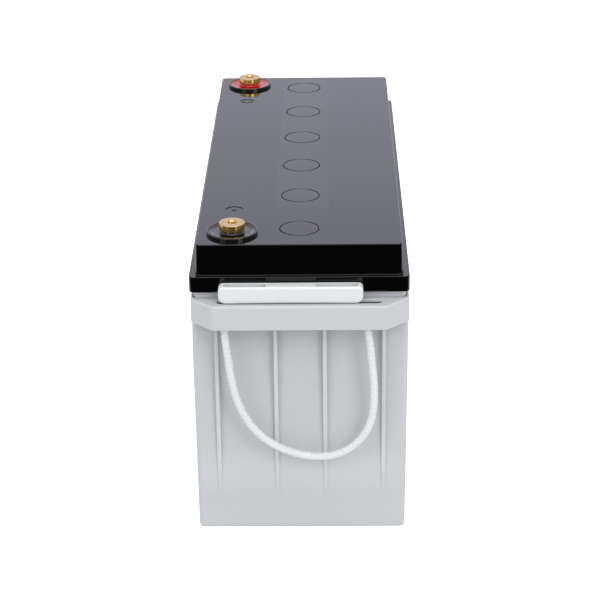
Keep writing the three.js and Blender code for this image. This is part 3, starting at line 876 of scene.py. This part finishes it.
def wellTool():
    low, high = well["floor"] - well["bossFloor"] - past, lid["top"] + well["rim"]
    stem, radius, mouth = terminal["stem"] + well["gap"], well["radius"], well["mouth"]
    return turned("well", metres([
        (0, low), (stem, low), (stem, well["floor"]), (radius, well["floor"]), (radius, high - mouth),
        (radius + mouth * bulge, high - mouth * bulge), (radius + mouth, high),
        (radius + mouth, high + past), (0, high + past)]))


# a shallow sunk disc, with the polarity sign left standing in it
def markTool(positive):
    low, high = lid["top"] - mark["deep"], lid["top"] + past
    half, bar = mark["line"] / 2, mark["bar"]
    disc = addObject("mark", rod("disc", mark["radius"], low, high, 64))
    if positive:
        cross = [(bar, half), (half, half), (half, bar), (-half, bar), (-half, half), (-bar, half),
                 (-bar, -half), (-half, -half), (-half, -bar), (half, -bar), (half, -half), (bar, -half)]
    else:
        bar = mark["shortBar"]
        cross = [(bar, half), (-bar, half), (-bar, -half), (bar, -half)]
    carve(disc, loft("sign", [metres([(x, y, z) for x, y in cross]) for z in (low - past, high + past)]))
    tool = disc.data
    bpy.data.objects.remove(disc)
    return tool


def seamTool(y, start, stop):
    return boxMesh((start, stop), (y - seam["half"], y + seam["half"]),
                   (lid["top"] - seam["deep"], lid["top"] + past))


def makeLid():
    cover = addObject("lidShell", lidBody())
    poles = [(terminal["x"], side * terminal["y"]) for side in (-1, 1)]
    carve(cover, joined("cups", [at(ventCup(), 0, y) for y in ventYs]), "UNION")
    carve(cover, joined("bosses", [at(bossMesh(), *pole) for pole in poles]), "UNION")
    carve(cover, joined("wells", [at(ventTool(), 0, y) for y in ventYs]
                        + [at(wellTool(), *pole) for pole in poles]))
    carve(cover, joined("bores", [at(boreTool(), 0, y) for y in ventYs]))
    carve(cover, joined("marks", [at(markTool(s == 1), mark["x"], s * mark["y"]) for s in (-1, 1)]
                        + [seamTool(*line) for line in seam["lines"]]))
    cleaned(cover)
    shaded(cover)
    finishPiece(cover, materials["lidBlack"], batteryBody, ["lid"])


makeLid()


def makeVentCovers():
    low, top, soft = lid["top"] - vent["thick"], lid["top"], vent["soft"]
    (inner, outer), foot = vent["collar"], low - vent["collarDeep"]
    corners = [(0, low, 0), (inner, low, 0), (inner, foot, 0), (outer, foot, soft), (outer, low, 0),
               (vent["cover"], low, soft), (vent["cover"], top, vent["edge"]), (0, top, 0)]
    profile = metres(softened(corners, 4, closed=False))
    for i, y in enumerate(ventYs):
        cover = addObject(f"ventCover{i + 1}", at(turned("cover", profile), 0, y))
        shaded(cover)
        finishPiece(cover, materials["lidBlack"], batteryBody, [f"vent_cover_{i + 1}"])


makeVentCovers()
print("lid and vents made")


thread = {"minor": 3.4, "major": 4.0, "pitch": 1.25, "depth": 18, "mouth": 4.3, "root": 0.15, "tip": 1.5}
seal = {"clear": 0.06, "deep": 3.4, "rim": 2.45, "dish": 1.4, "dishOut": 3.2, "dishIn": 2, "lip": 0.8}


def terminalProfile():
    top, head = terminal["top"], terminal["top"] - terminal["head"]
    outline = softened([(0, terminal["bottom"], 0), (terminal["stem"], terminal["bottom"], 0.5),
                        (terminal["stem"], head, 0.25), (terminal["radius"], head, 0.4),
                        (terminal["radius"], top, 0.55), (thread["mouth"], top, 0.1)], 4, closed=False)
    z = top - (thread["mouth"] - thread["minor"])
    outline.append((thread["minor"], z))
    while z > top - thread["depth"] + thread["pitch"]:
        outline += [(thread["minor"], z - thread["root"]), (thread["major"], z - thread["pitch"] / 2),
                    (thread["minor"], z - thread["pitch"] + thread["root"])]
        z -= thread["pitch"]
    outline += [(thread["minor"], top - thread["depth"]), (0, top - thread["depth"] - thread["tip"])]
    return metres(outline)


def sealProfile():
    inner, outer, top = terminal["stem"] + well["gap"], well["radius"] - seal["clear"], lid["top"]
    low, crest = well["floor"] + seal["deep"], terminal["top"] - terminal["head"] - well["gap"]
    dish = top + seal["dish"]
    return metres(softened([
        (inner, low, 0), (outer, low, 0), (outer, top + seal["rim"], 0.25),
        (outer - seal["dishOut"], dish, 4), (inner + seal["dishIn"], dish + 0.1, 2),
        (inner + seal["lip"], crest, 0.3), (inner, crest, 0)], 6))


def makeTerminals():
    for pole, side, look, slot in (("negative", -1, "sealBlack", "seal_black"),
                                   ("positive", 1, "sealRed", "seal_red")):
        post = addObject(f"{pole}Terminal", turned("terminal", terminalProfile(), 128))
        dish = addObject(f"{pole}Seal", turned("seal", sealProfile(), 128))
        for obj in (post, dish):
            obj.location = (terminal["x"] * mm, side * terminal["y"] * mm, 0)
            shaded(obj, 32)
        finishPiece(post, materials["terminalBrass"], batteryBody, [f"{pole}_terminal"])
        finishPiece(dish, materials[look], batteryBody, [f"{pole}_seal"])


makeTerminals()
print("terminals made")


grip = {"x": -6.5, "halfX": 55.5, "back": -226.2, "front": -237, "low": 203.3, "top": 217.2,
        "wall": 1.9, "upper": 3.4, "lower": 5.5, "edge": 1.8, "arch": 0.5, "archX": 28,
        "archEase": 0.7, "archRound": 40, "bridge": 2, "flare": 0.5, "holeCorner": 3.4,
        "windowInner": 19.2, "windowOuter": 51.3, "windowCorner": 1.6, "holeX": 48.5, "holeHalf": 3.7}


def gripRing(inset, y):
    halfX, low, top = grip["halfX"] - inset, grip["low"] + inset, grip["top"] - inset
    shoulder = low + grip["arch"] * grip["archEase"]
    corners = [(halfX, top, grip["upper"] - inset), (-halfX, top, grip["upper"] - inset),
               (-halfX, low, grip["lower"] - inset), (-grip["archX"], shoulder, grip["archRound"]),
               (0, low + grip["arch"], 0), (grip["archX"], shoulder, grip["archRound"]),
               (halfX, low, grip["lower"] - inset)]
    return [((grip["x"] + x) * mm, y * mm, z * mm) for x, z in softened(corners, 8)]


def gripBody():
    edge = grip["edge"]
    rings = [gripRing(inset, grip["back"] - edge + rise) for inset, rise in reversed(list(quarter(edge, 6)))]
    rings += [gripRing(inset, grip["front"] + edge - rise) for inset, rise in quarter(edge, 6)]
    return loft("grip", rings)


# an upright pocket with rounded corners, as deep as the grip's inside
def gripPocket(xs, zs, corner, flare=0.0):
    centre = (grip["x"] + (xs[0] + xs[1]) / 2, (grip["front"] + grip["back"]) / 2)
    halfX, halfY = (xs[1] - xs[0]) / 2, (grip["back"] - grip["front"]) / 2 - grip["wall"]
    levels = [(zs[0], 0), (zs[1] - flare, 0)]
    if flare:
        levels += [(zs[1] - flare * bulge, flare * bulge), (zs[1], flare), (zs[1] + past, flare)]
    return loft("pocket", [metres(roundRect(halfX + grow, halfY + grow, corner + grow, z, 5, centre))
                           for z, grow in levels])


def makeGrips():
    floor, ceiling, top = grip["low"] + grip["wall"], grip["top"] - grip["bridge"], grip["top"]
    inner, outer, corner = grip["windowInner"], grip["windowOuter"], grip["windowCorner"]
    half = grip["holeHalf"]
    for end, side in ends.items():
        handle = addObject(f"{end}GripShell", gripBody())
        carve(handle, gripPocket((-outer, outer), (floor, ceiling), corner))
        windows = [gripPocket(span, (ceiling - past, top), corner, grip["flare"])
                   for span in ((-outer, -inner), (inner, outer))]
        holes = [gripPocket((x - half, x + half), (grip["low"] - past, floor + past), grip["holeCorner"])
                 for x in (-grip["holeX"], grip["holeX"])]
        carve(handle, joined("windows", windows))
        carve(handle, joined("holes", holes))
        cleaned(handle)
        handle.data.transform(halfTurn(side))
        shaded(handle)
        finishPiece(handle, materials["gripWhite"], f"{end}_handle", [f"{end}_grip"])


makeGrips()
print("grips made")


insides = {"valve_cap": "valveRubber", "o_ring": "valveRubber", "cell_link": "castLead",
           "post": "castLead", "negative_plates": "negativePaste",
           "positive_plates": "positivePaste", "separator": "glassMat"}


def dressInsides():
    for name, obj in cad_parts.items():
        for words, material in insides.items():
            if words in name:
                obj.data.materials.clear()
                obj.data.materials.append(materials[material])


dressInsides()


stageSet = {"floor": (0.88, 0.88, 0.88), "glow": 0.6, "floorSize": 14, "world": (1.0, 1.0, 1.0),
            "strength": 0.93, "aim": (0, -0.22, 0.15)}
softBoxes = {
    "boxTop": {"turn": 0, "rise": 82, "far": 1.7, "wide": 1.3, "tall": 0.9, "power": 8.0},
    "boxLeft": {"turn": -42, "rise": 36, "far": 1.8, "wide": 0.75, "tall": 1.1, "power": 5.0},
    "boxRight": {"turn": 37, "rise": 34, "far": 1.8, "wide": 0.6, "tall": 1.0, "power": 10.0},
}
# cards that only shiny surfaces see: one dark on the floor in front, one bright behind
cards = [{"name": "cardFront", "xs": (-1.6, 1.6), "ys": (-2.2, -0.26), "zs": (0.002, 0.002),
          "color": (0, 0, 0), "glow": 0.0},
         {"name": "cardBack", "xs": (-2.2, 2.2), "ys": (2.6, 2.6), "zs": (0.0, 3.2),
          "color": (0.855, 0.865, 1.0), "glow": 1.24}]


def flatMesh(name, xs, ys, zs):
    points = [(xs[0], ys[0], zs[0]), (xs[1], ys[0], zs[0]), (xs[1], ys[1], zs[1]), (xs[0], ys[1], zs[1])]
    mesh = bpy.data.meshes.new(name)
    mesh.from_pydata(points, [], [[0, 1, 2, 3]])
    return mesh


def makeFloor():
    size = stageSet["floorSize"]
    floor = addObject("floor", flatMesh("floor", (-size, size), (-size, size), (0, 0)))
    material, tree, shader, place = newMaterial("floorPaper", {
        "Roughness": 0.9, "Specular IOR Level": 0.0, "Emission Color": (1, 1, 1, 1),
        "Base Color": (*stageSet["floor"], 1)})
    seen = tree.nodes.new("ShaderNodeLightPath")
    glow = chain(tree, "MULTIPLY", seen.outputs["Is Camera Ray"], stageSet["glow"])
    tree.links.new(glow, shader["Emission Strength"])
    floor.data.materials.append(material)


def makeCards():
    for card in cards:
        plate = addObject(card["name"], flatMesh(card["name"], card["xs"], card["ys"], card["zs"]))
        plate.data.materials.append(newMaterial(card["name"], {
            "Base Color": (0, 0, 0, 1), "Roughness": 1.0, "Specular IOR Level": 0.0,
            "Emission Color": (*card["color"], 1), "Emission Strength": card["glow"]})[0])
        plate.visible_camera = plate.visible_diffuse = plate.visible_shadow = False
        plate.visible_transmission = plate.visible_volume_scatter = False


def makeSoftBoxes():
    for name, box in softBoxes.items():
        light = bpy.data.objects.new(name, bpy.data.lights.new(name, "AREA"))
        scene.collection.objects.link(light)
        light.data.shape = "RECTANGLE"
        light.data.size, light.data.size_y = box["wide"], box["tall"]
        light.data.energy = box["power"]
        turn, rise = math.radians(box["turn"]), math.radians(box["rise"])
        away = Vector((math.sin(turn) * math.cos(rise), -math.cos(turn) * math.cos(rise), math.sin(rise)))
        light.location = Vector(stageSet["aim"]) + away * box["far"]
        light.rotation_euler = away.to_track_quat("Z", "Y").to_euler()


def makeWorld():
    world = bpy.data.worlds.new("studio")
    scene.world = world
    world.use_nodes = True
    back = world.node_tree.nodes["Background"]
    back.inputs["Color"].default_value = (*stageSet["world"], 1)
    back.inputs["Strength"].default_value = stageSet["strength"]
    scene.view_settings.view_transform = "Standard"


makeFloor()
makeCards()
makeSoftBoxes()
makeWorld()
print("stage made")
